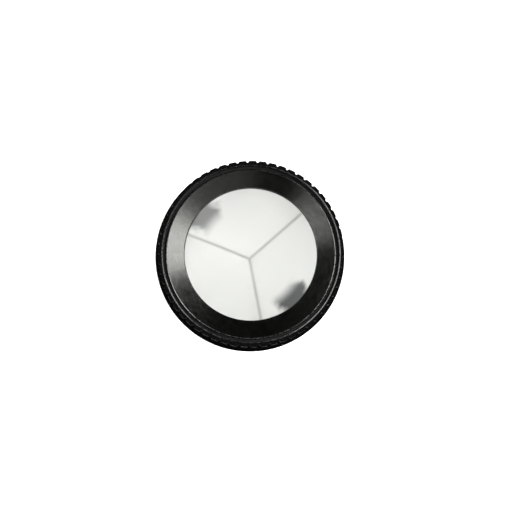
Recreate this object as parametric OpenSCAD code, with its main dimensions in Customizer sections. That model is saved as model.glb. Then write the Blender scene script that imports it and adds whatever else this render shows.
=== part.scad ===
// Round canister survey prism: a glass corner cube behind a screwed, knurled front cap.
// The canister stands on its rear face: +Z is the optical axis and points out of the glass.
// The origin is the centre of the flat rear face. All sizes are in millimetres.

/* [Glass prism] */
// Diameter of the round glass
glass_d = 25.4; // [24.5:0.1:25.5]
// Height of the plain round edge between the front face and the facets
glass_edge_h = 1.09; // [0.9:0.01:1.3]
// Turn of the prism's first roof edge about the optical axis
prism_turn = 100; // [0:1:119]
// Thickness of the mirror coating on the facets
silver_t = 0.08; // [0.05:0.01:0.1]
// Thickness of the paint that protects the mirror coating
paint_t = 0.12; // [0.08:0.01:0.2]

/* [Front cap] */
// Distance that the bezel's lip covers the edge of the glass all round
lip_cover = 0.35; // [0.25:0.05:0.7]
// Thickness of the bezel's lip at its edge
lip_t = 0.35; // [0.25:0.05:0.5]
// Slope of the bezel's funnel face
bezel_slope = 9.5; // [5:0.5:11]
// Diameter over the tips of the grip teeth
knurl_d = 34.35; // [33.8:0.05:34.6]
// Number of grip teeth
teeth = 57; // [40:1:60]
// Depth of the grooves between the teeth
groove_depth = 0.35; // [0.2:0.05:0.4]
// Width of each groove at the tips of the teeth
groove_w = 0.64; // [0.3:0.02:0.8]
// Angle of the first groove from +X
first_groove = 3.73; // [0:0.01:6.31]
// Length of the toothed part of the grip ring
knurl_len = 6; // [3:0.5:7.5]

/* [Canister] */
// Height of the whole prism, from rear face to front rim
total_h = 34; // [33.5:0.1:36]
// Diameter of the smooth flange behind the cap
flange_d = 35.5; // [34:0.1:38]
// Thickness of the flange
flange_t = 3.2; // [2.4:0.1:4]
// Diameter of the canister behind the flange
body_d = 32; // [31.8:0.1:34]
// Diameter of the rear face's foot
foot_d = 21; // [19:0.5:26]
// Height of the straight foot
foot_h = 3.5; // [2:0.1:5]

/* [Rear thread] */
// Bore of the insert, which is the minor diameter of its M8 thread
insert_bore_d = 6.7; // [6.6:0.05:6.9]
// Outer diameter of the insert
insert_d = 12; // [11:0.5:13]
// Length of the insert
insert_len = 8; // [5:0.5:8]

/* [Hidden] */
$fn = 128;

// Colours
anodised = [0.07, 0.07, 0.075];
satin = [0.13, 0.13, 0.135];
clear = [0.93, 0.95, 0.95];
silver = [0.82, 0.82, 0.8];
copper_paint = [0.42, 0.24, 0.16];
rubber = [0.04, 0.04, 0.04];
ptfe = [0.9, 0.9, 0.88];
moulded = [0.1, 0.1, 0.11];
steel = [0.62, 0.62, 0.64];
brass = [0.75, 0.6, 0.3];

// Clearances
run_fit = 0.03;     // radial, where the cap screws on the barrel
slip_fit = 0.05;    // radial, where a ring or the cell lies loose in a bore
end_gap = 0.2;      // axial, between parts that must not meet
edge = 0.3;         // chamfer on the turned edges
fine_edge = 0.15;   // chamfer on the front edges that catch the light

// Radii, from the glass outwards
glass_r = glass_d / 2;
aperture_r = glass_r - lip_cover;
rim_pad_t = 0.3;
cell_bore_r = glass_r + rim_pad_t;
cell_r = cell_bore_r + 1;
housing_bore_r = cell_r + slip_fit;
barrel_r = housing_bore_r + 1.69;
cap_bore_r = barrel_r + run_fit;
bezel_r = cap_bore_r - 0.12;
rim_bore_r = cap_bore_r + 0.53;
tip_r = knurl_d / 2;
root_r = tip_r - groove_depth;
flange_r = flange_d / 2;
body_r = body_d / 2;
foot_r = foot_d / 2;

// Heights, from the front rim backwards
seal_t = 0.5;
seal_show = 0.12;    // width of the face seal that shows inside the lip
slip_t = 0.4;
bezel_rise = (bezel_r - aperture_r) * tan(bezel_slope);
rim_above_lip = 1.5;
lip_z = total_h - rim_above_lip;
lip_under_z = lip_z - lip_t;
seal_z = lip_under_z - slip_t - seal_t;
glass_z = seal_z;
cap_floor_z = total_h - 2;
skirt_z = glass_z - 0.25;
barrel_top_z = skirt_z - end_gap;
flange_top_z = total_h - 8.6;
flange_z = flange_top_z - flange_t;
cap_z = flange_top_z + end_gap;
knurl_z = total_h - knurl_len;

// A corner cube's facets climb sqrt(2) times as fast as the radius, and its roof edges half as fast
facet_rise = sqrt(2);
glass_h = glass_r * facet_rise + glass_edge_h;
apex_z = glass_z - glass_h;

// The cell's cavity is the glass's own shape, moved out far enough for the coatings and pads
pad_t = 0.5;
coat_t = silver_t + paint_t;
cavity_z = apex_z - sqrt(3) * (coat_t + pad_t);
cell_tip_z = cavity_z - 1.2;
cell_flat = 0.4;
shoulder_z = glass_z - 12.65;
shoulder_r = (shoulder_z - cell_tip_z) * facet_rise;

// Rings under the cell, and the joint of the two housing halves
cushion_t = 0.9;
shim_t = 0.3;
shim_z = shoulder_z - cushion_t - shim_t;
joint_z = shim_z - 5;
joint_r = housing_bore_r + 0.55;
spigot_r = joint_r - run_fit;
tail_gap = 0.4;
tail_tip_z = cell_tip_z - tail_gap;
tail_mouth_r = (shim_z - tail_tip_z) * facet_rise;
straight_h = 1.5;

// Seals: each lies in a groove a little wider than its cord
cord_r = 0.39;
seal_groove = 1;
cap_seal_z = cap_z + 0.9;
cap_groove_r = barrel_r - 2 * cord_r - 0.01;
tail_seal_z = joint_z + 1.1;
tail_groove_r = spigot_r - 2 * cord_r - 0.01;

// Small hardware
pin_r = 0.6;
pin_z = shoulder_z + 2.4;
pin_in_r = cell_bore_r + 0.15;
pin_out_r = housing_bore_r + 1.15;
screw_r = 1;
screw_z = joint_z + 3.5;
socket_r = 0.5;
key_w = 1;
key_h = 4;
key_in_r = insert_d / 2 - 0.5;
key_out_r = insert_d / 2 + 0.6;
mouth = 0.5;
relief_h = 0.8;

// A ring turned from the outline of its section
module turned(outline) {
    rotate_extrude($fn = 256) polygon(outline);
}

// A flat ring
module washer(inner, outer, z, t) {
    turned([[inner, z], [outer, z], [outer, z + t], [inner, z + t]]);
}

// A round rubber ring whose cord just touches the floor of its groove
module o_ring(floor_r, z) {
    rotate_extrude($fn = 256) translate([floor_r + cord_r, z]) circle(r = cord_r, $fn = 48);
}

// A solid corner whose three square faces meet in a point at height z
module corner(z) {
    translate([0, 0, z])
        rotate([0, 0, prism_turn])
        rotate([0, -atan(sqrt(2)), 0])
        rotate([0, 0, -45])
        cube(4 * glass_r);
}

// The part of that corner inside a cylinder, cut level at the glass's front face
module round_corner(z, r) {
    intersection() {
        corner(z);
        translate([0, 0, z]) cylinder(h = glass_z - z, r = r);
    }
}

// Repeats its children three times round the axis, at the roof edges or at the facets between them
module at_thirds(start) {
    for (k = [0:2]) rotate([0, 0, start + 120 * k]) children();
}

// A layer on the facets, from depth a to depth b below the glass
module facet_layer(a, b) {
    intersection() {
        difference() {
            corner(apex_z - sqrt(3) * b);
            corner(apex_z - sqrt(3) * a);
        }
        translate([0, 0, apex_z - 1]) cylinder(h = glass_h, r = glass_r);
    }
}

// ---- Front cap ----

module grip_ring() color(anodised)
    difference() {
        turned([
            [cap_bore_r + edge, cap_z], [root_r - fine_edge, cap_z], [root_r, cap_z + fine_edge],
            [root_r, knurl_z], [tip_r, knurl_z + groove_depth], [tip_r, total_h - fine_edge],
            [tip_r - fine_edge, total_h], [rim_bore_r + fine_edge, total_h],
            [rim_bore_r, total_h - fine_edge], [rim_bore_r, cap_floor_z],
            [cap_bore_r, cap_floor_z], [cap_bore_r, cap_z + edge]
        ]);
        for (k = [0:teeth - 1]) rotate([0, 0, first_groove + 360 / teeth * k]) grip_groove();
    }

// One V-shaped groove with a narrow flat floor, cut along the axis
module grip_groove() {
    floor_half = 0.06;
    top_half = groove_w / 2;
    slope = (top_half - floor_half) / groove_depth;
    out = 0.2;
    translate([0, 0, knurl_z - 1])
        linear_extrude(knurl_len + 2)
        polygon([
            [root_r, -floor_half], [tip_r + out, -top_half - slope * out],
            [tip_r + out, top_half + slope * out], [root_r, floor_half]
        ]);
}

module bezel_ring() color(satin)
    turned([
        [aperture_r, lip_under_z], [cell_r + 0.15, lip_under_z], [cell_r + 0.15, skirt_z],
        [cap_bore_r - edge, skirt_z], [cap_bore_r, skirt_z + edge], [cap_bore_r, cap_floor_z],
        [bezel_r, cap_floor_z], [bezel_r, lip_z + bezel_rise - fine_edge],
        [bezel_r - fine_edge, lip_z + bezel_rise], [aperture_r, lip_z]
    ]);

module slip_ring() color(ptfe)
    washer(aperture_r + 0.25, cell_r + 0.15 - slip_fit, lip_under_z - slip_t, slip_t);

module face_seal() color(rubber)
    washer(aperture_r - seal_show, cell_r - 0.1, seal_z, seal_t);

module cap_seal() color(rubber) o_ring(cap_groove_r, cap_seal_z);

// ---- Glass and its cell ----

module prism_glass() color(clear) round_corner(apex_z, glass_r);

module silver_coating() color(silver) facet_layer(0, silver_t);

module backing_paint() color(copper_paint) facet_layer(silver_t, coat_t);

module facet_pads() color(rubber)
    at_thirds(prism_turn)
        translate([0, 0, apex_z])
        rotate([0, 180 - atan(sqrt(2)), 0])
        translate([-10.5, 0, coat_t])
        cylinder(h = pad_t, r = 2.2);

module rim_pads() color(rubber)
    at_thirds(prism_turn + 60)
        rotate([0, 0, -8])
        rotate_extrude(angle = 16, $fn = 256)
        translate([glass_r, glass_z - 6.5])
        square([rim_pad_t, 5]);

module prism_cell() color(moulded)
    difference() {
        turned([
            [0, cell_tip_z + cell_flat], [cell_flat * facet_rise, cell_tip_z + cell_flat],
            [shoulder_r, shoulder_z], [cell_r, shoulder_z], [cell_r, glass_z], [0, glass_z]
        ]);
        intersection() {
            corner(cavity_z);
            cylinder(h = total_h, r = cell_bore_r);
        }
        translate([cell_bore_r - 1, -pin_r - slip_fit, shoulder_z - 1])
            cube([3, 2 * (pin_r + slip_fit), pin_z - shoulder_z + 1 + pin_r + slip_fit]);
    }

module locating_pin() color(steel)
    translate([pin_in_r, 0, pin_z]) rotate([0, 90, 0]) cylinder(h = pin_out_r - pin_in_r, r = pin_r);

module cell_cushion() color(rubber)
    washer(shoulder_r + 0.2, cell_r - 0.1, shim_z + shim_t, cushion_t);

module cell_shim() color(brass) washer(shoulder_r + 0.2, cell_r - 0.1, shim_z, shim_t);

// ---- Housing ----

module front_housing() color(anodised)
    difference() {
        turned([
            [joint_r, joint_z], [body_r - edge, joint_z], [body_r, joint_z + edge],
            [body_r, flange_z], [flange_r - edge, flange_z], [flange_r, flange_z + edge],
            [flange_r, flange_top_z - edge], [flange_r - edge, flange_top_z],
            [barrel_r, flange_top_z], [barrel_r, cap_seal_z - seal_groove / 2],
            [cap_groove_r, cap_seal_z - seal_groove / 2], [cap_groove_r, cap_seal_z + seal_groove / 2],
            [barrel_r, cap_seal_z + seal_groove / 2], [barrel_r, barrel_top_z - edge],
            [barrel_r - edge, barrel_top_z], [housing_bore_r, barrel_top_z],
            [housing_bore_r, shim_z + 0.2], [joint_r, shim_z + 0.2]
        ]);
        translate([housing_bore_r - 1, 0, pin_z])
            rotate([0, 90, 0])
            cylinder(h = pin_out_r - housing_bore_r + 1, r = pin_r);
        at_thirds(60) set_screw_hole();
    }

module set_screw_hole() {
    translate([joint_r - 0.5, 0, screw_z]) rotate([0, 90, 0]) cylinder(h = 3, r = screw_r);
}

module tail_housing() color(anodised)
    difference() {
        turned([
            [0, 0], [foot_r - edge, 0], [foot_r, edge], [foot_r, foot_h],
            [body_r, joint_z - straight_h], [body_r, joint_z - edge], [body_r - edge, joint_z],
            [spigot_r, joint_z], [spigot_r, tail_seal_z - seal_groove / 2],
            [tail_groove_r, tail_seal_z - seal_groove / 2], [tail_groove_r, tail_seal_z + seal_groove / 2],
            [spigot_r, tail_seal_z + seal_groove / 2], [spigot_r, shim_z],
            [tail_mouth_r, shim_z], [cell_flat * facet_rise, tail_tip_z + cell_flat],
            [0, tail_tip_z + cell_flat]
        ]);
        translate([0, 0, -1]) cylinder(h = insert_len + 1, r = insert_d / 2);
        translate([0, 0, insert_len - 1]) cylinder(h = relief_h + 1, r = insert_bore_d / 2 + 0.7);
        for (k = [0:3]) rotate([0, 0, 45 + 90 * k]) key_block(-1);
    }

// The space of one key, from height z up to its top
module key_block(z) {
    translate([key_in_r, -key_w / 2, z]) cube([key_out_r - key_in_r, key_w, key_h - z]);
}

module tail_seal() color(rubber) o_ring(tail_groove_r, tail_seal_z);

module tail_set_screws() color(steel)
    at_thirds(60)
        translate([spigot_r, 0, screw_z])
        rotate([0, 90, 0])
        difference() {
            cylinder(h = body_r - spigot_r - 0.15, r = screw_r);
            translate([0, 0, 0.6]) cylinder(h = 2, r = socket_r, $fn = 6);
        }

module threaded_insert() color(steel)
    difference() {
        turned([
            [insert_bore_d / 2 + mouth, 0], [insert_d / 2, 0], [insert_d / 2, insert_len],
            [insert_bore_d / 2, insert_len], [insert_bore_d / 2, mouth]
        ]);
        for (k = [0:3]) rotate([0, 0, 45 + 90 * k]) key_block(-1);
    }

module insert_keys() color(steel)
    for (k = [0:3]) rotate([0, 0, 45 + 90 * k]) key_block(0.1);

grip_ring();
bezel_ring();
slip_ring();
face_seal();
cap_seal();
prism_glass();
silver_coating();
backing_paint();
facet_pads();
rim_pads();
prism_cell();
locating_pin();
cell_cushion();
cell_shim();
front_housing();
tail_housing();
tail_seal();
tail_set_screws();
threaded_insert();
insert_keys();
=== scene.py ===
"""Looks of the round survey prism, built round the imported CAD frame. All lengths are in metres."""

import math

import bmesh
import bpy
from mathutils import Matrix, Vector


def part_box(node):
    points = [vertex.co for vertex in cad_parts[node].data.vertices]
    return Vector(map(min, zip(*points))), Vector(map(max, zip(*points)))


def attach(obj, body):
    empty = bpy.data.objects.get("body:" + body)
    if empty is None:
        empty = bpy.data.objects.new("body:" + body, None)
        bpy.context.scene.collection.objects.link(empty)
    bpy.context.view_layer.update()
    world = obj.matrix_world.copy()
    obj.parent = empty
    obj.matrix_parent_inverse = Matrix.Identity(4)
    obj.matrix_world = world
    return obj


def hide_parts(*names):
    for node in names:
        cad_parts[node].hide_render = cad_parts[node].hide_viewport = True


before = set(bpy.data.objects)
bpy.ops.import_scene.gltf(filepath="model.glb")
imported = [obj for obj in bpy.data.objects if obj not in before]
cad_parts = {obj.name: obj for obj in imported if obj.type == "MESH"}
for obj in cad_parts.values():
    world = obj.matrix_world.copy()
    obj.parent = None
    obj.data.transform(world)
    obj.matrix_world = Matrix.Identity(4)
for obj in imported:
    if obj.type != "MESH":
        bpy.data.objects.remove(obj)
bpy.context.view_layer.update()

MM = 0.001


# ---------------------------------------------------------------- places taken from the frame

def reach(node):
    """Outer radius, lowest and highest z of a round CAD node."""
    low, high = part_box(node)
    return max(high.x, -low.x, high.y, -low.y), low.z, high.z


TIP_R, CAP_Z, RIM_Z = reach("grip_ring")
CAP_BORE_R, SKIRT_Z, BEZEL_TOP_Z = reach("bezel_ring")
GLASS_R, APEX_Z, GLASS_Z = reach("prism_glass")
FLANGE_R, JOINT_Z, BARREL_TOP_Z = reach("front_housing")
BODY_R, REAR_Z, SPIGOT_Z = reach("tail_housing")
INSERT_R, _, INSERT_TOP_Z = reach("threaded_insert")
KEY_R, KEY_Z, KEY_TOP_Z = reach("insert_keys")
CELL_R = reach("prism_cell")[0]
LIP_UNDER_Z = reach("slip_ring")[2]
_, SEAL_Z, SEAL_TOP_Z = reach("cap_seal")
SCREW_TIP_R, SCREW_Z, SCREW_TOP_Z = reach("tail_set_screws")

# The lip round the glass, the bezel's edge, the rim's bore and the floor of the gap between them
LIP_Z = RIM_Z - 1.5 * MM
APERTURE_R = GLASS_R - 0.35 * MM
BEZEL_R = CAP_BORE_R - 0.12 * MM
RIM_BORE_R = CAP_BORE_R + 0.53 * MM
CAP_FLOOR_Z = RIM_Z - 2 * MM

# Walls of the two canister halves, with the play that the CAD part gives them
PLAY = 0.03 * MM
BARREL_R = CAP_BORE_R - PLAY
FLANGE_TOP_Z = CAP_Z - 0.2 * MM
FLANGE_Z = FLANGE_TOP_Z - 3.2 * MM
HOUSING_BORE_R = CELL_R + 0.05 * MM
JOINT_R = HOUSING_BORE_R + 0.55 * MM
SPIGOT_R = JOINT_R - PLAY
CELL_SEAT_R = CELL_R - 0.5 * MM
SEAL_GROOVE_DEPTH = 0.79 * MM
SEAL_SIDE_GAP = 0.11 * MM

# How far the corner cube is turned about Z, and the angle of one facet
PRISM_TURN = math.radians(100)
THIRD = 2 * math.pi / 3

# Knurl: the teeth and the V grooves between them
TEETH = 57
FIRST_GROOVE = math.radians(3.73)
GROOVE_DEPTH = 0.35 * MM
GROOVE_W = 0.64 * MM
GROOVE_FLOOR_W = 0.12 * MM
TOOTH_CROWN = 0.06 * MM
ROOT_R = TIP_R - GROOVE_DEPTH
KNURL_Z = RIM_Z - 6 * MM

# Threads, the foot, the insert's keys and the set screws
CAP_PITCH = 0.75 * MM
FOOT_R = 10.5 * MM
FOOT_H = 3.5 * MM
REAR_THREAD_R = 4 * MM
REAR_THREAD_MINOR_R = 3.35 * MM
REAR_PITCH = 1.25 * MM
KEY_W = 1 * MM
KEY_IN_R = INSERT_R - 0.5 * MM
SCREW_R = (SCREW_TOP_Z - SCREW_Z) / 2
SCREW_MIDDLE_Z = (SCREW_Z + SCREW_TOP_Z) / 2
SCREW_SEGMENTS = 48
SOCKET_R = 0.5 * MM

# Edges: small and usual chamfers, the arc on every other edge, and what holds the flats flat
FINE = 0.15 * MM
CHAMFER = 0.3 * MM
SOFT = 0.04 * MM
HOLD = 0.05 * MM
CREASE = 40
SAME_POINT = 1e-8

# The two bright edges of the front: a shallow slope outwards, this wide and this deep
LIT_W = 0.14 * MM
LIT_DROP = 0.05 * MM
BEZEL_LIT_DROP = 0.033 * MM
RIDGE_R = RIM_BORE_R + 0.05 * MM
FACE_Z = RIM_Z - LIT_DROP

# Material slots after the first: those of the cap's grip, those of the prism, and a lone second one
GRIP, EDGE, FACE = 1, 2, 3
GROUND, SILVERED = 1, 2
SECOND = 1


# ---------------------------------------------------------------- mesh helpers

# The most of an outline's side that an arc, and the point held beyond it, may take up
ARC_SHARE = 0.4
HOLD_SHARE = 0.08


def rounded(outline, radius=SOFT, steps=3):
    """The closed outline with each corner (r, z) turned into a small arc, or (r, z, own radius).

    A point is held just before and after each arc, so that smooth shading leaves the flats flat.
    """
    points = [Vector(p[:2]) for p in outline]
    radii = [p[2] if len(p) > 2 else radius for p in outline]
    result = []
    for i, corner in enumerate(points):
        before = points[i - 1] - corner
        after = points[(i + 1) % len(points)] - corner
        turn = math.pi - before.angle(after)
        room = min(before.length, after.length) * ARC_SHARE
        cut = min(radii[i] * math.tan(turn / 2), room)
        if cut < 10 * SAME_POINT:
            result.append(corner)
            continue
        start = corner + before.normalized() * cut
        end = corner + after.normalized() * cut
        result.append(start + before.normalized() * min(HOLD, before.length * HOLD_SHARE))
        for k in range(steps + 1):
            t = k / steps
            result.append(start * (1 - t) ** 2 + corner * 2 * t * (1 - t) + end * t ** 2)
        result.append(end + after.normalized() * min(HOLD, after.length * HOLD_SHARE))
    return [(p.x, p.y) for p in result]


def smooth(bm, sharp):
    """Smooth shading, with creases where faces meet at more than sharp degrees."""
    bmesh.ops.recalc_face_normals(bm, faces=bm.faces)
    for face in bm.faces:
        face.smooth = True
    for edge in bm.edges:
        edge.smooth = edge.calc_face_angle(0) < math.radians(sharp)


def new_object(name, bm, sharp=CREASE):
    smooth(bm, sharp)
    mesh = bpy.data.meshes.new(name)
    bm.to_mesh(mesh)
    bm.free()
    piece = bpy.data.objects.new(name, mesh)
    bpy.context.scene.collection.objects.link(piece)
    return piece


def sweep(bm, columns, closed=True):
    """Joins a ring of columns, each a closed loop of points, into a surface."""
    rows = [[bm.verts.new(p) for p in column] for column in columns]
    count = len(rows)
    for i in range(count if closed else count - 1):
        here, there = rows[i], rows[(i + 1) % count]
        for j in range(len(here)):
            k = (j + 1) % len(here)
            bm.faces.new((here[j], there[j], there[k], here[k]))
    if not closed:
        bm.faces.new(rows[0])
        bm.faces.new(rows[-1][::-1])
    bmesh.ops.remove_doubles(bm, verts=bm.verts, dist=SAME_POINT)


def round_angles(segments):
    return [2 * math.pi * i / segments for i in range(segments)]


def lathe(bm, outline, segments=360):
    """Turns a closed outline of (r, z) points about the Z axis."""
    sweep(bm, [[(r * math.cos(a), r * math.sin(a), z) for r, z in outline]
               for a in round_angles(segments)])


def turned(name, outline, segments=360, sharp=CREASE):
    bm = bmesh.new()
    lathe(bm, outline, segments)
    return new_object(name, bm, sharp)


def thread(bm, root_r, crest_r, low, high, pitch, per_turn=96):
    """A screw thread's ridge from low to high, on a wall of root_r, fading in and out."""
    count = int(((high - low) / pitch - 1) * per_turn)
    fading = 30
    least = 0.02
    depth = crest_r - root_r
    sunk = root_r - depth * 0.2
    half_foot = pitch * 0.46
    half_crest = pitch * 0.07
    columns = []
    for i in range(count + 1):
        a = 2 * math.pi * i / per_turn
        crest = root_r + depth * max(min(1, i / fading, (count - i) / fading), least)
        z = low + pitch / 2 + pitch * i / per_turn
        section = [(sunk, z - half_foot), (crest, z - half_crest),
                   (crest, z + half_crest), (sunk, z + half_foot)]
        columns.append([(r * math.cos(a), r * math.sin(a), h) for r, h in section])
    sweep(bm, columns, closed=False)


def add_thread(piece, root_r, crest_r, low, high, pitch):
    """Joins a thread's ridge to a finished piece."""
    bm = bmesh.new()
    bm.from_mesh(piece.data)
    thread(bm, root_r, crest_r, low, high, pitch)
    smooth(bm, CREASE)
    bm.to_mesh(piece.data)
    bm.free()
    return piece


def cut(piece, cutter_bm, sharp=CREASE):
    """Cuts the closed shapes in cutter_bm out of the piece."""
    cutter = new_object("cutter", cutter_bm)
    modifier = piece.modifiers.new("cut", "BOOLEAN")
    modifier.operation = "DIFFERENCE"
    modifier.solver = "EXACT"
    modifier.object = cutter
    bpy.context.view_layer.update()
    result = piece.evaluated_get(bpy.context.evaluated_depsgraph_get())
    bm = bmesh.new()
    bm.from_mesh(result.to_mesh())
    piece.modifiers.remove(modifier)
    bpy.data.objects.remove(cutter)
    bmesh.ops.dissolve_degenerate(bm, dist=SAME_POINT, edges=bm.edges)
    smooth(bm, sharp)
    bm.to_mesh(piece.data)
    bm.free()


def box(bm, low, high, matrix, bevel=0.0):
    """A box between two corners, moved by matrix, with its edges rounded."""
    verts = bmesh.ops.create_cube(bm, size=1)["verts"]
    middle = (Vector(low) + Vector(high)) / 2
    size = Vector(high) - Vector(low)
    bmesh.ops.scale(bm, verts=verts, vec=size)
    bmesh.ops.translate(bm, verts=verts, vec=middle)
    bmesh.ops.transform(bm, verts=verts, matrix=matrix)
    if bevel:
        edges = {edge for vert in verts for edge in vert.link_edges}
        bmesh.ops.bevel(bm, geom=list(edges), offset=bevel, segments=2, affect="EDGES")


def turns(count, start):
    """Turning matrices about Z, evenly spread from a start in degrees."""
    return [Matrix.Rotation(math.radians(start + 360 / count * k), 4, "Z") for k in range(count)]


SCREW_PLACES = turns(3, 60)
KEY_PLACES = turns(4, 45)


def outwards(matrix, z):
    """A frame whose own Z points out along the matrix's X, at height z."""
    return matrix @ Matrix.Translation((0, 0, z)) @ Matrix.Rotation(math.pi / 2, 4, "Y")


def mark(piece, index, r_low, r_high, z_low):
    """Gives a material slot to the faces whose middle lies between two radii and above z_low."""
    for face in piece.data.polygons:
        r = math.hypot(face.center.x, face.center.y)
        if r_low < r < r_high and face.center.z > z_low:
            face.material_index = index
    return piece


def spin_about(bm, columns, matrix):
    """Sweeps columns about their own Z, then moves them by matrix."""
    sweep(bm, [[matrix @ Vector(p) for p in column] for column in columns])


# ---------------------------------------------------------------- cap

def grip_ring():
    """The knurled screw ring: its outer points are cut back to the V grooves between the teeth."""
    outer = rounded([
        (ROOT_R - FINE, CAP_Z), (ROOT_R, CAP_Z + FINE), (ROOT_R, KNURL_Z),
        (TIP_R, KNURL_Z + GROOVE_DEPTH), (TIP_R, FACE_Z, 0.1 * MM),
        (RIDGE_R + LIT_W, FACE_Z), (RIDGE_R, RIM_Z), (RIM_BORE_R, RIM_Z - LIT_W / 2),
        (RIM_BORE_R, CAP_FLOOR_Z), (CAP_BORE_R, CAP_FLOOR_Z),
        (CAP_BORE_R, CAP_Z + CHAMFER), (CAP_BORE_R + CHAMFER, CAP_Z)
    ])
    pitch = 2 * math.pi / TEETH
    floor_half = GROOVE_FLOOR_W / 2 / ROOT_R
    top_half = GROOVE_W / 2 / TIP_R
    crown = TOOTH_CROWN / TIP_R
    crown_end = top_half + crown * 1.5
    # Angle from the groove's middle, and how much of the groove's depth is cut there
    section = [(0, 1), (floor_half, 1), (floor_half * 1.6, 0.93), (top_half * 0.95, 0.12),
               (top_half + crown * 0.4, 0.035), (crown_end, 0)]
    flat = [(crown_end + (pitch / 2 - crown_end) * t, 0) for t in (0.33, 0.67, 1)]
    half = section + flat
    stations = half + [(pitch - a, depth) for a, depth in reversed(half[1:-1])]
    columns = []
    for k in range(TEETH):
        for offset, depth in stations:
            a = FIRST_GROOVE + k * pitch + offset
            limit = TIP_R - GROOVE_DEPTH * depth
            column = [(min(r, limit) if z >= KNURL_Z - SOFT else r, z) for r, z in outer]
            columns.append([(r * math.cos(a), r * math.sin(a), z) for r, z in column])
    bm = bmesh.new()
    sweep(bm, columns)
    piece = new_object("cap_grip", bm, sharp=32)
    mark(piece, GRIP, RIDGE_R + LIT_W, TIP_R, CAP_Z - MM)
    mark(piece, FACE, RIDGE_R + LIT_W, TIP_R, RIM_Z - LIT_W)
    return mark(piece, EDGE, RIM_BORE_R - SOFT, RIDGE_R + LIT_W, RIM_Z - LIT_W)


def bezel_ring():
    """The shallow funnel round the glass, with a lit slope at its outer edge."""
    recess_r = CELL_R + 0.15 * MM
    piece = turned("cap_bezel", rounded([
        (APERTURE_R, LIP_UNDER_Z), (recess_r, LIP_UNDER_Z), (recess_r, SKIRT_Z),
        (CAP_BORE_R - CHAMFER, SKIRT_Z), (CAP_BORE_R, SKIRT_Z + CHAMFER),
        (CAP_BORE_R, CAP_FLOOR_Z), (BEZEL_R, CAP_FLOOR_Z),
        (BEZEL_R, BEZEL_TOP_Z - BEZEL_LIT_DROP), (BEZEL_R - LIT_W, BEZEL_TOP_Z),
        (APERTURE_R, LIP_Z)
    ]), segments=512)
    return mark(piece, SECOND, BEZEL_R - LIT_W, CAP_BORE_R, BEZEL_TOP_Z - LIT_W)


# ---------------------------------------------------------------- canister

def set_screw_holes():
    """Holes for the set screws, each with a small countersink."""
    bm = bmesh.new()
    mouth = 0.15 * MM
    outline = [(0, SPIGOT_R), (SCREW_R, SPIGOT_R), (SCREW_R, BODY_R - mouth),
               (SCREW_R + 2 * mouth, BODY_R + mouth), (0, BODY_R + mouth)]
    columns = [[(r * math.cos(a), r * math.sin(a), z) for r, z in outline]
               for a in round_angles(SCREW_SEGMENTS)]
    for turn in SCREW_PLACES:
        spin_about(bm, columns, outwards(turn, SCREW_MIDDLE_Z))
    return bm


def front_housing():
    """Flange, barrel and rear skirt, with the barrel's thread as a real helical ridge."""
    groove_r = BARREL_R - SEAL_GROOVE_DEPTH
    groove_low = SEAL_Z - SEAL_SIDE_GAP
    groove_high = SEAL_TOP_Z + SEAL_SIDE_GAP
    core_r = BARREL_R - 0.32 * MM
    thread_low = groove_high + 0.4 * MM
    thread_high = BARREL_TOP_Z - 0.1 * MM
    step_z = SPIGOT_Z + 0.2 * MM
    piece = turned("flange_housing", rounded([
        (JOINT_R, JOINT_Z), (BODY_R - CHAMFER, JOINT_Z), (BODY_R, JOINT_Z + CHAMFER),
        (BODY_R, FLANGE_Z, 0.5 * MM),
        (FLANGE_R - CHAMFER, FLANGE_Z), (FLANGE_R, FLANGE_Z + CHAMFER),
        (FLANGE_R, FLANGE_TOP_Z - CHAMFER), (FLANGE_R - CHAMFER, FLANGE_TOP_Z),
        (BARREL_R, FLANGE_TOP_Z), (BARREL_R, groove_low), (groove_r, groove_low),
        (groove_r, groove_high), (BARREL_R, groove_high), (BARREL_R, thread_low - 0.2 * MM),
        (core_r, thread_low), (core_r, BARREL_TOP_Z - CHAMFER), (core_r - CHAMFER, BARREL_TOP_Z),
        (HOUSING_BORE_R, BARREL_TOP_Z), (HOUSING_BORE_R, step_z), (JOINT_R, step_z)
    ]))
    mark(piece, SECOND, BARREL_R, FLANGE_R, FLANGE_TOP_Z - CHAMFER)
    cut(piece, set_screw_holes())
    return add_thread(piece, core_r, BARREL_R, thread_low, thread_high, CAP_PITCH)


def key_slots():
    """Boxes for the four slots that the insert's keys sit in, with play at their sides."""
    bm = bmesh.new()
    half = KEY_W / 2 + PLAY
    for turn in KEY_PLACES:
        box(bm, (KEY_IN_R - PLAY, -half, REAR_Z - MM), (KEY_R + PLAY, half, KEY_TOP_Z), turn)
    return bm


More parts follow.
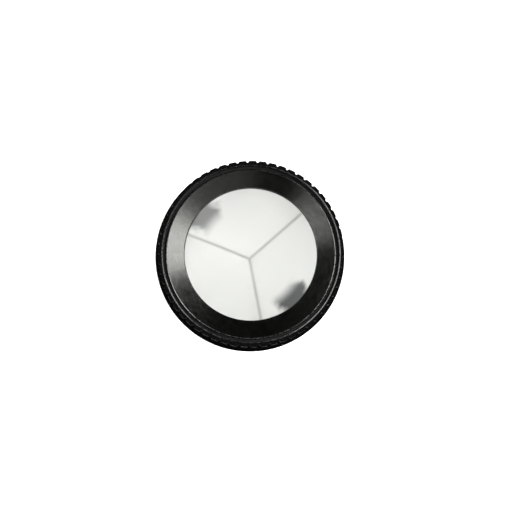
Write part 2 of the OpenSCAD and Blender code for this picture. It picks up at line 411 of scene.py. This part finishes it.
def tail_housing():
    """Rear half: foot, cone, straight band, spigot and the hollow cone that backs the prism cell."""
    relief_r = REAR_THREAD_MINOR_R + 0.7 * MM
    relief_z = INSERT_TOP_Z + 0.8 * MM
    tip_z = SPIGOT_Z - CELL_SEAT_R / math.sqrt(2)
    groove_low = JOINT_Z + 0.6 * MM
    groove_high = JOINT_Z + 1.6 * MM
    groove_r = SPIGOT_R - SEAL_GROOVE_DEPTH
    piece = turned("tail_body", rounded([
        (INSERT_R, REAR_Z + FINE), (INSERT_R + FINE, REAR_Z), (FOOT_R - CHAMFER, REAR_Z),
        (FOOT_R, REAR_Z + CHAMFER), (FOOT_R, FOOT_H, 0.25 * MM),
        (BODY_R, JOINT_Z - 1.5 * MM, 0.6 * MM),
        (BODY_R, JOINT_Z - CHAMFER), (BODY_R - CHAMFER, JOINT_Z), (SPIGOT_R, JOINT_Z),
        (SPIGOT_R, groove_low), (groove_r, groove_low), (groove_r, groove_high),
        (SPIGOT_R, groove_high), (SPIGOT_R, SPIGOT_Z), (CELL_SEAT_R, SPIGOT_Z),
        (0, tip_z, 0), (0, relief_z, 0), (relief_r, relief_z), (relief_r, INSERT_TOP_Z),
        (INSERT_R, INSERT_TOP_Z)
    ]))
    cut(piece, key_slots())
    return piece


def threaded_insert():
    """Steel sleeve with a real M8 thread inside and slots for its four keys."""
    shoulder_z = INSERT_TOP_Z - 0.5 * MM
    thread_gap = 0.2 * MM
    piece = turned("thread_insert", rounded([
        (REAR_THREAD_R + FINE, REAR_Z), (INSERT_R - FINE, REAR_Z), (INSERT_R, REAR_Z + FINE),
        (INSERT_R, INSERT_TOP_Z), (REAR_THREAD_MINOR_R, INSERT_TOP_Z),
        (REAR_THREAD_MINOR_R, shoulder_z), (REAR_THREAD_R, shoulder_z),
        (REAR_THREAD_R, REAR_Z + FINE)
    ]), segments=192)
    cut(piece, key_slots())
    return add_thread(piece, REAR_THREAD_R, REAR_THREAD_MINOR_R, REAR_Z + thread_gap,
                      INSERT_TOP_Z - thread_gap, REAR_PITCH)


def insert_keys():
    """The four keys that stop the insert from turning."""
    bm = bmesh.new()
    half = KEY_W / 2
    for turn in KEY_PLACES:
        box(bm, (KEY_IN_R, -half, KEY_Z), (KEY_R, half, KEY_TOP_Z), turn, bevel=0.08 * MM)
    return new_object("key_set", bm)


def set_screws():
    """Three cup-point screws, each with a hexagon socket in its outer end."""
    bm = bmesh.new()
    socket_floor = SPIGOT_R + 0.6 * MM
    drill_point = 0.15 * MM
    lead_in = 0.05 * MM
    cup = 0.3 * MM
    columns = []
    for a in round_angles(SCREW_SEGMENTS):
        flat = abs((a % (math.pi / 3)) - math.pi / 6)
        hexagon = SOCKET_R * math.cos(math.pi / 6) / math.cos(flat)
        outline = [(0, socket_floor - drill_point), (hexagon, socket_floor),
                   (hexagon, SCREW_TIP_R - lead_in),
                   (hexagon + lead_in, SCREW_TIP_R), (SCREW_R - FINE, SCREW_TIP_R),
                   (SCREW_R, SCREW_TIP_R - FINE), (SCREW_R, SPIGOT_R + cup),
                   (SCREW_R - cup, SPIGOT_R), (0, SPIGOT_R + cup / 2)]
        columns.append([(r * math.cos(a), r * math.sin(a), z) for r, z in outline])
    for turn in SCREW_PLACES:
        spin_about(bm, columns, outwards(turn, SCREW_MIDDLE_Z))
    return new_object("socket_screws", bm, sharp=28)


# ---------------------------------------------------------------- glass

def prism():
    """The glass corner cube: a round front, a short ground edge and three flat facets to the apex."""
    segments = 360
    bevel = 0.12 * MM
    # A hair less than the pads' bore, so that their faces don't fall on the glass
    edge_r = GLASS_R - 0.01 * MM
    bm = bmesh.new()
    centre = bm.verts.new((0, 0, GLASS_Z))
    apex = bm.verts.new((0, 0, APEX_Z))
    rings = [[], [], []]
    for a in round_angles(segments):
        from_facet = (a - PRISM_TURN + THIRD / 2) % THIRD - THIRD / 2
        low = APEX_Z + math.sqrt(2) * edge_r * math.cos(from_facet)
        for ring, r, z in zip(rings, (edge_r - bevel, edge_r, edge_r),
                              (GLASS_Z, GLASS_Z - bevel, low)):
            ring.append(bm.verts.new((r * math.cos(a), r * math.sin(a), z)))
    for i in range(segments):
        j = (i + 1) % segments
        bm.faces.new((centre, rings[0][i], rings[0][j]))
        bm.faces.new((rings[0][i], rings[1][i], rings[1][j], rings[0][j])).material_index = GROUND
        bm.faces.new((rings[1][i], rings[2][i], rings[2][j], rings[1][j])).material_index = GROUND
        bm.faces.new((rings[2][i], apex, rings[2][j])).material_index = SILVERED
    return new_object("corner_cube", bm, sharp=20)


# ---------------------------------------------------------------- materials

class Nodes:
    """Short names for making shader nodes and joining them."""

    def __init__(self, name):
        self.material = bpy.data.materials.new(name)
        self.material.use_nodes = True
        self.tree = self.material.node_tree
        self.shader = self.tree.nodes["Principled BSDF"]

    def add(self, kind, **inputs):
        """Makes a node: set_NAME gives a property, i0, i1 ... an input by number, others by name."""
        node = self.tree.nodes.new(kind)
        for key, value in inputs.items():
            if key.startswith("set_"):
                setattr(node, key[4:], value)
            else:
                self.put(node.inputs[int(key[1:])] if key[0] == "i" and key[1:].isdigit()
                         else node.inputs[key.replace("_", " ")], value)
        return node

    def put(self, socket, value):
        if isinstance(value, bpy.types.NodeSocket):
            self.tree.links.new(value, socket)
        else:
            socket.default_value = value

    def finish(self, **inputs):
        """Sets the shader's own inputs and returns the material."""
        for key, value in inputs.items():
            self.put(self.shader.inputs[key.replace("_", " ")], value)
        return self.material

    def math(self, operation, a, b=0.0, c=0.0):
        return self.add("ShaderNodeMath", set_operation=operation, i0=a, i1=b, i2=c).outputs[0]

    def noise(self, vector, scale, detail=2.0, rough=0.5):
        return self.add("ShaderNodeTexNoise", Vector=vector, Scale=scale, Detail=detail,
                        Roughness=rough).outputs["Fac"]

    def ramp(self, fac, low, high, out_low, out_high, kind="LINEAR"):
        return self.add("ShaderNodeMapRange", set_interpolation_type=kind, Value=fac, From_Min=low,
                        From_Max=high, To_Min=out_low, To_Max=out_high).outputs["Result"]

    def spread(self, noise, out_low, out_high):
        """Maps the middle of a noise's range, where most of its values lie, onto a range."""
        return self.ramp(noise, 0.3, 0.7, out_low, out_high)

    def mix(self, fac, a, b):
        """Mixes two colours: inputs 6 and 7 and output 2 are the node's colour sockets."""
        node = self.add("ShaderNodeMix", set_data_type="RGBA", Factor=fac)
        self.put(node.inputs[6], a)
        self.put(node.inputs[7], b)
        return node.outputs[2]

    def place(self):
        return self.add("ShaderNodeTexCoord").outputs["Object"]

    def around(self, place):
        """Radius, turn about Z and height of each point, in metres and radians."""
        parts = self.add("ShaderNodeSeparateXYZ", Vector=place).outputs
        radius = self.math("SQRT", self.math("ADD", self.math("MULTIPLY", parts[0], parts[0]),
                                             self.math("MULTIPLY", parts[1], parts[1])))
        return radius, self.math("ARCTAN2", parts[1], parts[0]), parts[2]

    def tool_marks(self, place, across, along):
        """Noise drawn out round the Z axis: across cells a metre, and along cells a radian."""
        radius, turn, height = self.around(place)
        return self.noise(self.add(
            "ShaderNodeCombineXYZ",
            i0=self.math("MULTIPLY", self.math("COSINE", turn), along),
            i1=self.math("MULTIPLY", self.math("SINE", turn), along),
            i2=self.math("MULTIPLY", self.math("ADD", radius, height), across)).outputs[0],
            1.0, 3.0, 0.6)

    def bump(self, height, distance, strength=1.0):
        return self.add("ShaderNodeBump", Height=height, Distance=distance,
                        Strength=strength).outputs["Normal"]

    def round_tangent(self):
        return self.add("ShaderNodeTangent", set_direction_type="RADIAL", set_axis="Z").outputs[0]


def grey(value, alpha=1.0):
    return (value, value, value, alpha)


# A quarter turn puts the drawn-out highlight across the tool marks instead of along them
ACROSS_MARKS = 0.25


def anodised(name, base, rough, specular, anisotropy=0.0, marks=0.004, marks_across=9000,
             marks_along=3.0, grain=0.002, grain_scale=9000, tint=(1, 1, 1, 1), metallic=0.0,
             sparkle=0.0, patchy=0.05):
    """Turned and anodised aluminium: tool marks round the axis, faint blotches and a fine grain.

    Marks and grain are heights in millimetres. Sparkle is how much the gloss comes and goes with
    them, and patchy is how much rougher the tool marks get.
    """
    n = Nodes(name)
    place = n.place()
    lines = n.tool_marks(place, marks_across, marks_along)
    blotch = n.noise(place, 260, 3.0)
    speckle = n.noise(place, grain_scale, 2.0)
    lines_share = 0.6
    glints = n.math("ADD", n.math("MULTIPLY", lines, lines_share),
                    n.math("MULTIPLY", speckle, 1 - lines_share))
    relief = n.math("ADD", n.math("MULTIPLY", lines, marks), n.math("MULTIPLY", speckle, grain))
    return n.finish(
        Base_Color=n.mix(blotch, grey(base * 0.8), grey(base * 1.3)),
        Roughness=n.math("ADD", n.spread(lines, rough - 0.05, rough + patchy),
                         n.spread(blotch, -0.01, 0.01)),
        Specular_IOR_Level=n.ramp(glints, 0.4, 0.6, specular * (1 - sparkle),
                                  specular * (1 + sparkle)),
        Specular_Tint=tint, Metallic=metallic,
        Anisotropic=anisotropy, Anisotropic_Rotation=ACROSS_MARKS, Tangent=n.round_tangent(),
        Normal=n.bump(relief, 1.0 * MM))


def dull_black(name, base, rough):
    """Anodising with no gloss of its own, and little shine where it is seen edge-on."""
    return anodised(name, base, rough, specular=0.5, marks=0.003, grain=0.004,
                    tint=grey(0.02), metallic=1.0)


def turned_metal(name, dark, light, rough):
    """Bare turned metal, such as stainless steel or brass, with fine tool marks."""
    n = Nodes(name)
    place = n.place()
    lines = n.tool_marks(place, 14000.0, 2.0)
    blotch = n.noise(place, 400, 3.0)
    return n.finish(
        Base_Color=n.mix(blotch, dark, light), Metallic=1.0,
        Roughness=n.spread(lines, rough - 0.06, rough + 0.06),
        Anisotropic=0.6, Anisotropic_Rotation=ACROSS_MARKS, Tangent=n.round_tangent(),
        Normal=n.bump(lines, 0.004 * MM))


def soft_solid(name, dark, light, rough, grain_scale, grain_depth, specular=0.35):
    """Rubber, PTFE, moulded plastic or paint: blotchy colour and a fine grain."""
    n = Nodes(name)
    place = n.place()
    blotch = n.noise(place, 350, 3.0)
    grain = n.noise(place, grain_scale, 3.0)
    return n.finish(
        Base_Color=n.mix(blotch, dark, light), Specular_IOR_Level=specular,
        Roughness=n.spread(grain, rough - 0.08, rough + 0.08),
        Normal=n.bump(grain, grain_depth))


def front_glass():
    """Polished glass with a faint uneven anti-reflection coat."""
    n = Nodes("coated_glass")
    haze = n.noise(n.place(), 500, 3.0)
    return n.finish(
        Base_Color=(0.985, 0.99, 0.985, 1), Transmission_Weight=1.0, IOR=1.517,
        Specular_IOR_Level=0.25, Roughness=n.spread(haze, 0.0, 0.02))


def ground_edge():
    """The prism's round edge, ground matt and white."""
    return soft_solid("ground_edge", grey(0.75), grey(0.85), 0.7, 6000, 0.01 * MM)


# Each soft grey patch of painted shade at the rim of the silvering: its middle from the prism's turn,
# half its width in radians and how dark it is
SHADE_PATCHES = ((math.radians(39), 0.24, 0.75), (math.radians(215), 0.29, 1.0))


def silvered_facets_painted_light():
    """Mirror facets seen through the glass, with painted shade: grey along the roof edges and in two
    soft rim patches, and a faint glow of painted light.
    """
    edge_half_w = 0.05 * MM
    edge_fade = 0.5 * MM
    roof_shade = 0.32
    shade_patch_r = 8.2 * MM
    shade_patch_full_r = 10.9 * MM
    waver = 0.12
    blur = 0.1
    n = Nodes("silvered_facets_painted_light")
    place = n.place()
    radius, turn, _ = n.around(place)
    # Painted shade: grey lines along the three roof edges, fading out half a millimetre from them
    from_edge = n.math("WRAP", n.math("SUBTRACT", turn, PRISM_TURN + THIRD / 2), THIRD / 2, -THIRD / 2)
    across = n.math("ABSOLUTE", n.math("MULTIPLY", radius, n.math("SINE", from_edge)))
    shade = n.ramp(across, edge_half_w, edge_fade, roof_shade, 0.0, "SMOOTHSTEP")
    ragged = n.ramp(n.noise(place, 260, 2.0), 0.2, 0.8, -waver, waver)
    rim = n.ramp(radius, shade_patch_r, shade_patch_full_r, 0.0, 1.0, "SMOOTHSTEP")
    # Painted shade: two soft grey patches with ragged sides at the rim of the silvering
    for middle, half, dark in SHADE_PATCHES:
        off = n.math("ABSOLUTE", n.math("WRAP", n.math("SUBTRACT", turn, PRISM_TURN + middle),
                                        math.pi, -math.pi))
        side = n.ramp(n.math("ADD", off, ragged), half - blur, half + blur, dark, 0.0, "SMOOTHSTEP")
        shade = n.math("MAXIMUM", shade, n.math("MULTIPLY", side, rim))
    # The facets glow faintly: painted light that brightens the disc, dimmer where the shade is painted
    return n.finish(
        Base_Color=n.mix(shade, (0.985, 0.985, 0.965, 1), (0.13, 0.13, 0.135, 1)),
        Metallic=0.35, Roughness=0.12, Emission_Color=n.mix(shade, grey(1), grey(0.06)),
        Emission_Strength=0.078)


def floor_paint():
    """Bright white studio floor, lit a little from below so that shadows on it stay soft."""
    n = Nodes("studio_floor")
    cloud = n.noise(n.place(), 8, 2.0)
    return n.finish(
        Base_Color=n.mix(cloud, grey(0.9), grey(0.93)), Roughness=0.9, Specular_IOR_Level=0.1,
        Emission_Color=(1, 1, 1, 1), Emission_Strength=0.6)


def paint(piece, *materials):
    """Puts materials in the piece's slots in order, and keeps which face uses which slot."""
    slots = piece.data.materials
    for i, material in enumerate(materials):
        if i < len(slots):
            slots[i] = material
        else:
            slots.append(material)


gloss_black = anodised("anodised_gloss", base=0.0005, rough=0.25, specular=0.25, marks=0.001,
                       grain=0.002)
edge_black = anodised("anodised_edge", base=0.0005, rough=0.2, specular=0.6, marks=0.002,
                      marks_along=40.0, grain=0.003, sparkle=0.7, patchy=0.2)
worn_black = anodised("anodised_worn_edge", base=0.0005, rough=0.2, specular=0.92, marks=0.002,
                      marks_along=40.0, grain=0.003, sparkle=0.45, patchy=0.2)
satin_black = anodised("anodised_satin", base=0.0003, rough=0.2, specular=0.45, anisotropy=0.75,
                       marks=0.006, marks_across=5000, marks_along=10.0, grain=0.004,
                       grain_scale=4500, tint=(0.99, 1, 0.95, 1), sparkle=0.26)
face_black = dull_black("anodised_face", base=0.0025, rough=0.5)
grip_black = dull_black("anodised_grip", base=0.014, rough=0.5)
matt_black = dull_black("anodised_matt", base=0.03, rough=0.4)
rubber = soft_solid("seal_rubber", grey(0.008), grey(0.014), 0.6, 3000, 0.01 * MM)
ptfe = soft_solid("ptfe", grey(0.72), grey(0.8), 0.45, 2500, 0.004 * MM)
moulded = soft_solid("moulded_acetal", grey(0.012), grey(0.02), 0.4, 3500, 0.006 * MM)
copper = soft_solid("backing_paint", (0.30, 0.13, 0.07, 1), (0.38, 0.17, 0.09, 1), 0.55, 1500, 0.01 * MM)
steel = turned_metal("stainless", grey(0.36), grey(0.48), 0.3)
brass = turned_metal("shim_brass", (0.6, 0.42, 0.18, 1), (0.72, 0.52, 0.24, 1), 0.3)
silver = turned_metal("silvering", grey(0.88), grey(0.94), 0.12)

for names, material in (
    (("grip_ring",), gloss_black),
    (("bezel_ring",), satin_black),
    (("front_housing", "tail_housing"), matt_black),
    (("face_seal", "cap_seal", "tail_seal", "facet_pads", "rim_pads", "cell_cushion"), rubber),
    (("slip_ring",), ptfe),
    (("prism_cell",), moulded),
    (("backing_paint",), copper),
    (("locating_pin", "tail_set_screws", "threaded_insert", "insert_keys"), steel),
    (("cell_shim",), brass),
    (("silver_coating", "prism_glass"), silver),
):
    for name in names:
        paint(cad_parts[name], material)


# ---------------------------------------------------------------- pieces put on their bodies

def settle(piece, body, slot, nodes, *materials):
    """Paints a piece, puts it on its body and hides the CAD nodes that it stands in for."""
    paint(piece, *materials)
    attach(piece, body)
    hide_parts(*nodes)


settle(grip_ring(), "cap", "anodised_gloss", ["grip_ring"],
       gloss_black, grip_black, edge_black, face_black)
settle(bezel_ring(), "cap", "anodised_satin", ["bezel_ring"], satin_black, worn_black)
settle(front_housing(), "canister", "anodised_matt", ["front_housing"], matt_black, face_black)
settle(tail_housing(), "canister", "anodised_matt", ["tail_housing"], matt_black)
settle(threaded_insert(), "canister", "stainless", ["threaded_insert"], steel)
settle(insert_keys(), "canister", "stainless", ["insert_keys"], steel)
settle(set_screws(), "canister", "stainless", ["tail_set_screws"], steel)
settle(prism(), "canister", "glass", ["prism_glass", "silver_coating"],
       front_glass(), ground_edge(), silvered_facets_painted_light())


# ---------------------------------------------------------------- floor, light and camera

FLOOR_HALF_W = 1.5
LAMP_DISTANCE = 0.6


def floor():
    """The studio floor, which the canister stands on with its rear face."""
    bm = bmesh.new()
    bmesh.ops.create_grid(bm, x_segments=8, y_segments=8, size=FLOOR_HALF_W)
    piece = new_object("floor", bm)
    piece.location.z = REAR_Z
    paint(piece, floor_paint())


def towards(azimuth, elevation):
    """Unit vector at an azimuth from +X and an elevation above the floor, in degrees."""
    a, e = math.radians(azimuth), math.radians(elevation)
    return Vector((math.cos(e) * math.cos(a), math.cos(e) * math.sin(a), math.sin(e)))


def softbox(name, azimuth, elevation, width, height, radiance):
    """A lamp that faces the lip: its width lies level, and radiance is what it looks like to a piece."""
    lamp = bpy.data.lights.new(name, "AREA")
    lamp.shape = "RECTANGLE"
    lamp.size = width
    lamp.size_y = height
    aim_lamp(lamp, azimuth, elevation, LAMP_DISTANCE, radiance * width * height)


def round_card(name, azimuth, elevation, distance, width, radiance):
    """A round softbox of the given width."""
    lamp = bpy.data.lights.new(name, "AREA")
    lamp.shape = "DISK"
    lamp.size = width
    aim_lamp(lamp, azimuth, elevation, distance, radiance * width * width * math.pi / 4)


def aim_lamp(lamp, azimuth, elevation, distance, strength):
    """Puts a lamp of a given radiance times area at its distance, facing the lip."""
    lamp.energy = strength * math.pi
    light = bpy.data.objects.new(lamp.name, lamp)
    bpy.context.scene.collection.objects.link(light)
    target = Vector((0, 0, LIP_Z))
    light.location = target + towards(azimuth, elevation) * distance
    light.rotation_euler = (target - light.location).to_track_quat("-Z", "Y").to_euler()
    light.visible_camera = False


# The camera stands nearly above the glass. FRAME_W is the width of the picture at the lip.
VIEW_FROM = 250.3
VIEW_TILT = 4.0
VIEW_DISTANCE = 0.45
FRAME_W = 94.13 * MM
AIM = Vector((0.76 * MM, -0.16 * MM, LIP_Z))


def camera():
    """The camera, with its upper edge towards +Y."""
    data = bpy.data.cameras.new("camera")
    data.sensor_width = 36
    data.lens = data.sensor_width * VIEW_DISTANCE / FRAME_W
    data.clip_start = 0.01
    eye = bpy.data.objects.new("camera", data)
    bpy.context.scene.collection.objects.link(eye)
    spot = AIM + towards(VIEW_FROM, 90 - VIEW_TILT) * VIEW_DISTANCE
    ahead = (AIM - spot).normalized()
    right = ahead.cross(Vector((0, 1, 0))).normalized()
    up = right.cross(ahead)
    turn = Matrix((right, up, -ahead)).transposed()
    eye.matrix_world = Matrix.Translation(spot) @ turn.to_4x4()
    bpy.context.scene.camera = eye


def surroundings(side, front, overhead):
    """Room light: bright low down at the sides, dimmer to the front and rear, dark overhead."""
    world = bpy.data.worlds.new("studio")
    bpy.context.scene.world = world
    world.use_nodes = True
    tree = world.node_tree
    sky = tree.nodes["Background"]

    def put(node, *values):
        for socket, value in zip(node.inputs, values):
            if isinstance(value, bpy.types.NodeSocket):
                tree.links.new(value, socket)
            else:
                socket.default_value = value
        return node.outputs[0]

    def math_node(operation, *values):
        node = tree.nodes.new("ShaderNodeMath")
        node.operation = operation
        return put(node, *values)

    def blend(value, low, high, out_low, out_high):
        node = tree.nodes.new("ShaderNodeMapRange")
        node.interpolation_type = "SMOOTHSTEP"
        return put(node, value, low, high, out_low, out_high)

    parts = tree.nodes.new("ShaderNodeSeparateXYZ")
    tree.links.new(tree.nodes.new("ShaderNodeTexCoord").outputs["Generated"], parts.inputs[0])
    x, y, z = parts.outputs
    xx = math_node("MULTIPLY", x, x)
    never_zero = 0.0001
    level = math_node("ADD", math_node("ADD", xx, math_node("MULTIPLY", y, y)), never_zero)
    low_down = blend(math_node("DIVIDE", xx, level), 0.1, 0.9, front, side)
    fade_up = blend(z, 0.0, 0.75, 1.0, 0.0)
    strength = math_node("ADD", math_node("MULTIPLY", low_down, fade_up), overhead)
    tree.links.new(strength, sky.inputs["Strength"])
    sky.inputs["Color"].default_value = (1, 1, 1, 1)


def studio():
    """Soft light from both sides, and narrow lamps for the bright edges of the front."""
    bpy.context.scene.view_settings.view_transform = "Standard"
    surroundings(side=1.0, front=0.25, overhead=0.005)
    softbox("key_right", azimuth=5, elevation=70, width=0.13, height=0.18, radiance=20)
    softbox("low_right", azimuth=20, elevation=12, width=0.35, height=0.15, radiance=20)
    softbox("fill_left", azimuth=203, elevation=62, width=0.17, height=0.2, radiance=14)
    softbox("low_left", azimuth=168, elevation=12, width=0.5, height=0.15, radiance=12)
    softbox("low_rear", azimuth=130, elevation=12, width=0.25, height=0.15, radiance=15)
    softbox("top_front", azimuth=304, elevation=73, width=0.2, height=0.1, radiance=1.6)
    softbox("rim_right", azimuth=22, elevation=50, width=0.45, height=0.08, radiance=18)
    softbox("rim_front", azimuth=324, elevation=49, width=0.3, height=0.08, radiance=19)
    softbox("rim_left", azimuth=205, elevation=50, width=0.4, height=0.08, radiance=5)
    round_card("lens_card", azimuth=VIEW_FROM, elevation=90, distance=0.5, width=0.14, radiance=0.45)


floor()
camera()
studio()
